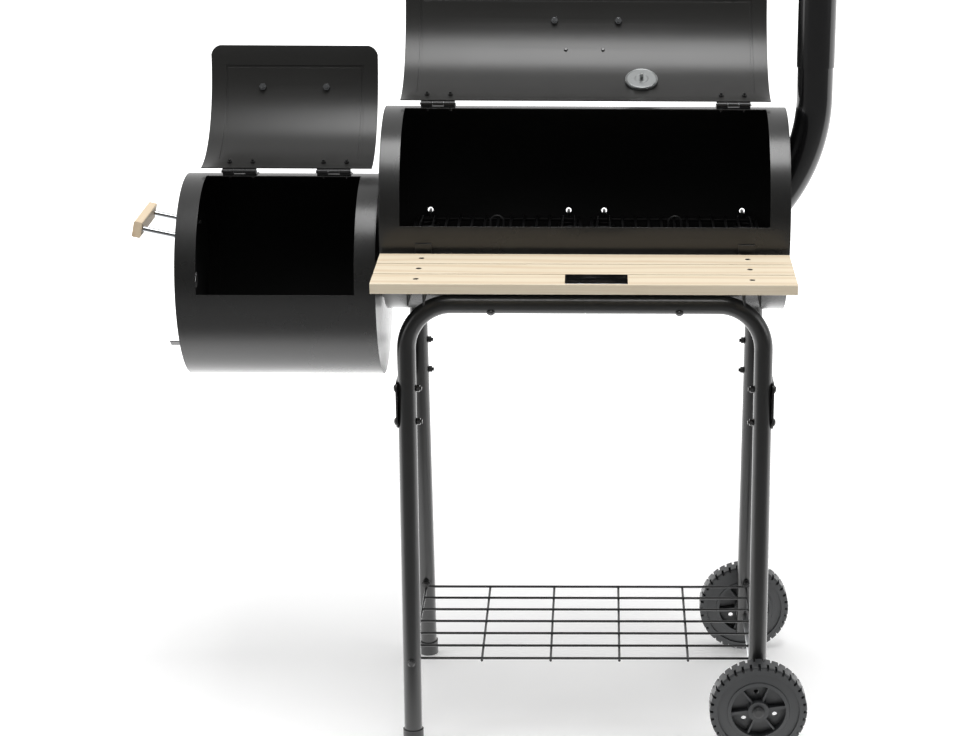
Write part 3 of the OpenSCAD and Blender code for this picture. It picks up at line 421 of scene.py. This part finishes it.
@dataclass(frozen=True)
class Metal(Finish):
    """Bare or plated metal with fine lines along one direction."""

    lines: Coordinates = Coordinates.ALONG_X
    line_depth: float = 0.004 * MM
    spread: float = 0.08
    warp: float = 0.0
    metallic: float = 1.0
    along_scale: float = 40.0
    across_scale: float = 2600.0
    smear_scale: float = 35.0
    warp_scale: float = 22.0

    def shade(self, graph: Graph) -> dict:
        """Fine lines, smears, and a slow warp where the sheet has one.

        Args:
            graph: The material's nodes.

        Returns:
            Inputs of the surface shader.
        """
        point = graph.point()
        stretch = tuple(
            self.along_scale if i == self.lines.value[-1] else self.across_scale
            for i in range(3)
        )
        line = graph.noise(point * stretch, 1.0, 2.0)
        smear = graph.noise(point, self.smear_scale, 3.0)
        rough = line * self.spread + smear * self.spread + self.roughness
        normal = graph.bump(line, self.line_depth, self.edge)
        if self.warp:
            wave = graph.noise(point, self.warp_scale, 1.0)
            normal = graph.node(
                "ShaderNodeBump",
                {},
                {"Height": wave, "Distance": self.warp, "Normal": normal},
            )
        return {"Base Color": (*self.color, 1.0), "Roughness": rough, "Normal": normal}


@dataclass(frozen=True)
class Wood(Finish):
    """Planed softwood: growth rings, fibres and a few darker streaks."""

    dark: Triple = (0.46, 0.30, 0.16)
    grain: Coordinates = Coordinates.ALONG_X
    offset: float = 0.0
    sway_scale: tuple[float, float] = (2.2, 9.0)
    ring_scale: tuple[float, float] = (210.0, 60.0)
    ring_sway: float = 9.0
    ring_sharpness: float = 3.0
    fibre_scale: tuple[float, float] = (14.0, 900.0)
    streak_scale: tuple[float, float] = (3.0, 70.0)
    ring_share: float = 0.34
    fibre_share: float = 0.2
    streak_share: float = 0.22
    # Painted shade in gaps and creases: how dark it gets, and how far the occlusion node
    # looks
    gap_shade_share: float = 0.75
    gap_shade_mm: float = 7.0
    relief: float = 0.06 * MM
    fibre_dullness: float = 0.14

    def shade(self, graph: Graph) -> dict:
        """Rings that sway along the grain, fibres, streaks and painted shade in the
        gaps.

        Args:
            graph: The material's nodes.

        Returns:
            Inputs of the surface shader.
        """
        point = graph.point()
        a, b, along = (point.part(i) for i in self.grain.value)
        low, high = self.sway_scale
        where = self.vector(graph, along * low, a * high + self.offset, b * high)
        sway = graph.noise(where, 1.0, 2.0)
        across, down = self.ring_scale
        ring = a * across + b * down + sway * self.ring_sway + self.offset
        wave = graph.node("ShaderNodeMath", {"operation": "SINE"}, {0: ring})
        ring_line = (wave * 0.5 + 0.5) ** self.ring_sharpness
        low, high = self.fibre_scale
        where = self.vector(graph, along * low, a * high, b * high)
        fibre = graph.noise(where, 1.0, 3.0)
        low, high = self.streak_scale
        where = self.vector(graph, along * low, a * high, b * high + self.offset)
        streak = graph.noise(where, 1.0, 2.0).rise(0.52, 0.8)
        share = (
            ring_line * self.ring_share
            + fibre.rise(0.42, 0.75) * self.fibre_share
            + streak * self.streak_share
        )
        # Painted shade: the colour darkens where nearby surfaces close in, as in the
        # gaps between slats
        occlusion_for_shade = graph.node(
            "ShaderNodeAmbientOcclusion",
            {"samples": 6},
            {"Distance": self.gap_shade_mm * MM},
            "AO",
        )
        share = (share + occlusion_for_shade.rise(0.75, 0.25) * self.gap_shade_share).least(1.0)
        return {
            "Base Color": graph.mix(share, self.color, self.dark),
            "Roughness": self.roughness + fibre * self.fibre_dullness,
            "Normal": graph.bump(fibre * 0.6 + ring_line * 0.4, self.relief, self.edge),
        }

    @staticmethod
    def vector(graph: Graph, x: Operand, y: Operand, z: Operand) -> Value:
        """A vector from its three parts."""
        return graph.node("ShaderNodeCombineXYZ", {}, {0: x, 1: y, 2: z})


@dataclass(frozen=True)
class Plastic(Finish):
    """Moulded plastic with a fine spark-eroded grain."""

    grain_depth: float = 0.03 * MM
    grain_scale: float = 1800.0
    scuff_scale: float = 26.0
    scuff_dullness: float = 0.12
    lightest: float = 1.35

    def shade(self, graph: Graph) -> dict:
        """Fine grain with lighter, duller scuffs.

        Args:
            graph: The material's nodes.

        Returns:
            Inputs of the surface shader.
        """
        point = graph.point()
        grain = graph.noise(point, self.grain_scale, 2.0)
        scuff = graph.noise(point, self.scuff_scale, 4.0)
        light = tuple(self.lightest * c for c in self.color)
        return {
            "Base Color": graph.mix(scuff, self.color, light),
            "Roughness": scuff * self.scuff_dullness + self.roughness,
            "Normal": graph.bump(grain, self.grain_depth, self.edge),
        }


@dataclass(frozen=True)
class Glass(Finish):
    """Clear flat glass."""

    refraction: float = 1.5

    def shade(self, graph: Graph) -> dict:
        """Inputs of the surface shader."""
        return {
            "Base Color": (*self.color, 1.0),
            "Roughness": self.roughness,
            "Transmission Weight": 1.0,
            "IOR": self.refraction,
        }


GRIP_COLOR = (0.68, 0.55, 0.385)

FINISHES: tuple[Finish, ...] = (
    # The barrel's inner-face colour is painted shade
    Paint("barrel_paint", (0.012, 0.012, 0.0117), 0.27, painted_inside_shade=(0.001, 0.001, 0.001)),
    Paint("lid_paint", (0.017, 0.0168, 0.016), 0.3, shine=0.36),
    Paint("chimney_paint", (0.004, 0.004, 0.0043), 0.16, peel=0.012 * MM),
    Paint("frame_paint", (0.012, 0.0122, 0.012), 0.3, peel_scale=1400.0),
    Paint("hinge_steel", (0.009, 0.009, 0.0095), 0.4, edge=0.3 * MM),
    Paint("bolt_steel", (0.05, 0.05, 0.05), 0.28, metallic=0.7, edge=0.3 * MM),
    Metal("pin_steel", (0.45, 0.46, 0.47), 0.25),
    Metal("chrome", (0.34, 0.35, 0.36), 0.1, spread=0.04, edge=0.2 * MM),
    Paint("grate_wire", (0.014, 0.014, 0.0145), 0.42),
    Paint("rack_wire", (0.014, 0.014, 0.0145), 0.4),
    Wood("grip_wood", GRIP_COLOR, 0.5, edge=1.2 * MM),
    Wood(
        "side_grip_wood",
        GRIP_COLOR,
        0.5,
        edge=1.2 * MM,
        grain=Coordinates.ALONG_Y,
        offset=3.7,
    ),
    Wood("slat_wood", (0.655, 0.575, 0.44), 0.48, edge=0.9 * MM),
    Metal(
        "plate_steel",
        (0.62, 0.63, 0.65),
        0.08,
        spread=0.05,
        edge=0.2 * MM,
        warp=6.0 * MM,
    ),
    Plastic("dial_face", (0.86, 0.86, 0.84), 0.45),
    Plastic("needle_red", (0.62, 0.05, 0.03), 0.4),
    Glass("gauge_glass", (0.95, 0.97, 0.98), 0.02),
    Metal("gauge_steel", (0.33, 0.34, 0.34), 0.2, spread=0.1, edge=0.3 * MM),
    Plastic("wheel_plastic", (0.024, 0.0255, 0.027), 0.42),
    Plastic("cap_plastic", (0.016, 0.0165, 0.017), 0.45, edge=0.6 * MM),
)


@dataclass
class FinishBook:
    """Every finish by its slot, built once."""

    made: dict[str, bpy.types.Material] = field(default_factory=dict)

    def build(self) -> None:
        """Builds all the finishes."""
        for finish in FINISHES:
            self.made[finish.slot] = finish.build()

    def paint_nodes(self, record: dict, nodes: dict[str, bpy.types.Object]) -> None:
        """Gives each CAD node the finish that its record names.

        The side handle's grip lies across the others, and so does its grain.

        Args:
            record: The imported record.
            nodes: The CAD nodes by name.
        """
        for part in record["subparts"]:
            node = nodes[part["node"]]
            special = part["node"] == "side_handle_grip"
            slot = "side_grip_wood" if special else part["material_slot"]
            node.data.materials.clear()
            node.data.materials.append(self.made[slot])


# ---- Small pieces ----


def add_mesh(name: str, mesh: bmesh.types.BMesh) -> bpy.types.Object:
    """Turns a bmesh into an object in the scene.

    Args:
        name: The piece's name.
        mesh: Its shape, in metres.

    Returns:
        The object.
    """
    data = bpy.data.meshes.new(name)
    mesh.to_mesh(data)
    mesh.free()
    piece = bpy.data.objects.new(name, data)
    bpy.context.scene.collection.objects.link(piece)
    return piece


@dataclass(frozen=True)
class DialMarks:
    """Printed marks on the thermometer's dial, without words."""

    count: int = 25
    sweep_deg: float = 240.0
    outer_mm: float = 22.5
    long_mm: float = 5.0
    short_mm: float = 3.0
    long_every: int = 4
    width_mm: float = 0.7
    height_mm: float = 0.1

    def build(self, axis: Vector, middle: Vector, finish: bpy.types.Material) -> None:
        """Adds the marks.

        Args:
            axis: Direction that the dial faces.
            middle: Middle of the dial's printed face.
            finish: The marks' material.
        """
        turn = axis.to_track_quat("Z", "Y").to_matrix().to_4x4()
        mesh = bmesh.new()
        for index in range(self.count):
            share = index / (self.count - 1) - 0.5
            long = self.short_mm if index % self.long_every else self.long_mm
            angle = math.radians(share * self.sweep_deg)
            matrix = (
                Matrix.Translation(middle)
                @ turn
                @ Matrix.Rotation(angle, 4, "Z")
                @ Matrix.Translation((0, (self.outer_mm - long / 2) * MM, 0))
                @ Matrix.Diagonal(
                    (self.width_mm * MM, long * MM, self.height_mm * MM, 1.0)
                )
            )
            bmesh.ops.create_cube(mesh, size=1.0, matrix=matrix)
        piece = add_mesh("dial_marks", mesh)
        piece.data.materials.append(finish)
        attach(piece, "main_lid")


@dataclass(frozen=True)
class Ring:
    """A rounded ring, such as the rolled rim of a pressed disc."""

    name: str
    radius_mm: float
    wire_mm: float
    count: int = 72

    def build(self, axis: Vector, middle: Vector, finish: bpy.types.Material) -> None:
        """Adds the ring, riding on the cooking lid.

        Args:
            axis: Direction of the ring's axis.
            middle: Its middle.
            finish: Its material.
        """
        curve = bpy.data.curves.new(self.name, "CURVE")
        curve.dimensions = "3D"
        curve.bevel_depth = self.wire_mm * MM
        curve.bevel_resolution = 4
        spline = curve.splines.new("POLY")
        spline.points.add(self.count - 1)
        spline.use_cyclic_u = True
        turn = axis.to_track_quat("Z", "Y")
        for index, point in enumerate(spline.points):
            angle = math.tau * index / self.count
            spot = Vector((math.cos(angle), math.sin(angle), 0.0)) * self.radius_mm * MM
            point.co = (*(middle + turn @ spot), 1.0)
        ring = bpy.data.objects.new(self.name, curve)
        bpy.context.scene.collection.objects.link(ring)
        curve.materials.append(finish)
        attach(ring, "main_lid")


# ---- Studio ----


@dataclass(frozen=True)
class FloorFinish(Finish):
    """A pale floor that takes shadows near the object and fades to white further off."""

    near: float = 0.7
    far: float = 1.9
    lift: float = 0.16
    mirrored: float = 1.6
    front_start: float = -0.6
    front_end: float = -0.18
    dimmed: float = 0.5

    def shade(self, graph: Graph) -> dict:
        """Glow that the camera sees far off, and reflections see close by.

        Args:
            graph: The material's nodes.

        Returns:
            Inputs of the surface shader.
        """
        point = graph.point()
        x, y = point.part(0), point.part(1)
        away = ((x * x + y * y) ** 0.5).rise(self.near, self.far)
        seen = graph.node("ShaderNodeLightPath", {}, {}, "Is Camera Ray")
        gloss = graph.node("ShaderNodeLightPath", {}, {}, "Is Glossy Ray")
        close = y.rise(self.front_start, self.front_end)
        share = seen * away.most(self.lift) + gloss * close * self.mirrored
        glow = graph.node("ShaderNodeCombineColor", {}, {0: share, 1: share, 2: share})
        dark = tuple(self.dimmed * c for c in self.color)
        return {
            "Base Color": graph.mix(gloss * (1.0 - close), self.color, dark),
            "Roughness": self.roughness,
            "Emission Color": glow,
            "Emission Strength": 1.0,
        }


@dataclass(frozen=True)
class SoftBox:
    """A square area light."""

    name: str
    at: Triple
    aim: Triple
    size: float
    watts: float

    def build(self) -> None:
        """Adds the light."""
        data = bpy.data.lights.new(self.name, "AREA")
        data.shape = "SQUARE"
        data.size = self.size
        data.energy = self.watts
        light = bpy.data.objects.new(self.name, data)
        light.location = self.at
        direction = Vector(self.aim) - Vector(self.at)
        light.rotation_euler = direction.to_track_quat("-Z", "Y").to_euler()
        bpy.context.scene.collection.objects.link(light)


@dataclass(frozen=True)
class PhotoCamera:
    """The camera, as fitted to the object's known shapes."""

    at_mm: Triple = (25.452, -3523.306, 1669.179)
    yaw_deg: float = -0.81
    pitch_deg: float = -19.24
    roll_deg: float = 0.42
    focal_px: float = 2377.65
    centre_px: tuple[float, float] = (633.68, 441.04)
    picture_px: tuple[int, int] = (980, 736)

    def build(self) -> bpy.types.Object:
        """Adds the camera and makes it the scene's own.

        Returns:
            The camera.
        """
        yaw, pitch, roll = (
            math.radians(a) for a in (self.yaw_deg, self.pitch_deg, self.roll_deg)
        )
        ahead = Vector(
            (
                -math.sin(yaw) * math.cos(pitch),
                math.cos(yaw) * math.cos(pitch),
                math.sin(pitch),
            )
        )
        level = Vector((math.cos(yaw), math.sin(yaw), 0.0))
        up = level.cross(ahead)
        right = level * math.cos(roll) + up * math.sin(roll)
        top = up * math.cos(roll) - level * math.sin(roll)
        data = bpy.data.cameras.new("camera")
        width, height = self.picture_px
        data.sensor_fit = "HORIZONTAL"
        data.sensor_width = SENSOR_MM
        data.lens = self.focal_px * SENSOR_MM / width
        data.shift_x = (width / 2 - self.centre_px[0]) / width
        data.shift_y = (self.centre_px[1] - height / 2) / width
        data.clip_end = 100.0
        camera = bpy.data.objects.new("camera", data)
        turn = Matrix((right, top, -ahead)).transposed().to_4x4()
        camera.matrix_world = Matrix.Translation(place(*self.at_mm)) @ turn
        bpy.context.scene.collection.objects.link(camera)
        bpy.context.scene.camera = camera
        return camera


@dataclass(frozen=True)
class Studio:
    """White floor, white surroundings and soft boxes."""

    sky: float = 1.0
    front: float = 0.1
    above: float = 0.55
    back_fade: tuple[float, float] = (-0.5, 0.45)
    high_fade: tuple[float, float] = (0.45, 0.95)
    floor: Triple = (0.92, 0.92, 0.92)
    floor_roughness: float = 0.7
    floor_half: float = 14.0
    boxes: tuple[SoftBox, ...] = (
        SoftBox("top_box", (0.2, -0.5, 3.2), (0.15, 0.0, 0.8), 1.4, 62.0),
        SoftBox("left_box", (-3.0, -1.2, 1.5), (0.0, 0.0, 0.8), 1.4, 22.0),
        SoftBox("right_box", (3.2, -1.0, 1.6), (0.0, 0.0, 0.8), 1.4, 22.0),
    )

    def build(self) -> None:
        """Adds everything round the object."""
        self.add_world()
        self.add_floor()
        for box in self.boxes:
            box.build()

    def add_world(self) -> None:
        """White for the camera; for reflections, darker towards the front."""
        world = bpy.data.worlds.new("studio")
        bpy.context.scene.world = world
        world.use_nodes = True
        graph = Graph(world.node_tree)
        way = graph.node("ShaderNodeTexCoord", {}, {}, "Generated")
        back = way.part(1).rise(*self.back_fade)
        high = way.part(2).rise(*self.high_fade)
        share = back.most(high * self.above)
        strength = share * (self.sky - self.front) + self.front
        lit = graph.node(
            "ShaderNodeBackground", {}, {"Color": WHITE, "Strength": strength}
        )
        seen = graph.node("ShaderNodeBackground", {}, {"Color": WHITE})
        path = graph.node("ShaderNodeLightPath", {}, {}, "Is Camera Ray")
        both = graph.node("ShaderNodeMixShader", {}, {0: path, 1: lit, 2: seen})
        graph.end("ShaderNodeOutputWorld", both)

    def add_floor(self) -> None:
        """A plain pale floor that keeps the object's shadow."""
        mesh = bmesh.new()
        bmesh.ops.create_grid(
            mesh, x_segments=1, y_segments=1, size=self.floor_half
        )
        floor = add_mesh("floor", mesh)
        finish = FloorFinish("floor", self.floor, self.floor_roughness)
        floor.data.materials.append(finish.build())


# ---- The whole ----


@dataclass
class Smoker:
    """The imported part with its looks."""

    frame: dict
    book: FinishBook = field(default_factory=FinishBook)
    face_mm: float = 0.68
    rings: tuple[tuple[Ring, float], ...] = (
        (Ring("back_rim", 22.6, 1.1), 11.9),
        (Ring("back_step", 10.0, 0.6), 12.1),
    )

    def build(self) -> None:
        """Finishes the CAD nodes and adds the small pieces."""
        self.book.build()
        self.book.paint_nodes(self.frame["record"], self.frame["nodes"])
        needle = next(
            j for j in self.frame["joints"] if j["name"] == "thermometer_needle_turn"
        )
        axis = Vector(needle["axis"])
        low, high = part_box("thermometer_dial")
        face = (low + high) / 2 + axis * self.face_mm * MM
        DialMarks().build(axis, face, self.book.made["cap_plastic"])
        LOG.info("piece dial_marks")
        steel = self.book.made["gauge_steel"]
        for ring, behind_mm in self.rings:
            ring.build(axis, face - axis * behind_mm * MM, steel)
            LOG.info("piece %s", ring.name)


def plain_view() -> None:
    """Sets the plain colour view."""
    bpy.context.scene.view_settings.view_transform = "Standard"


def clear_scene() -> None:
    """Removes what a new Blender file starts with."""
    for piece in list(bpy.data.objects):
        bpy.data.objects.remove(piece)


def main() -> None:
    """Builds the scene."""
    logging.basicConfig(level=logging.INFO)
    clear_scene()
    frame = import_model()
    Smoker(frame).build()
    Studio().build()
    PhotoCamera().build()
    plain_view()


if __name__ == "__main__":
    main()
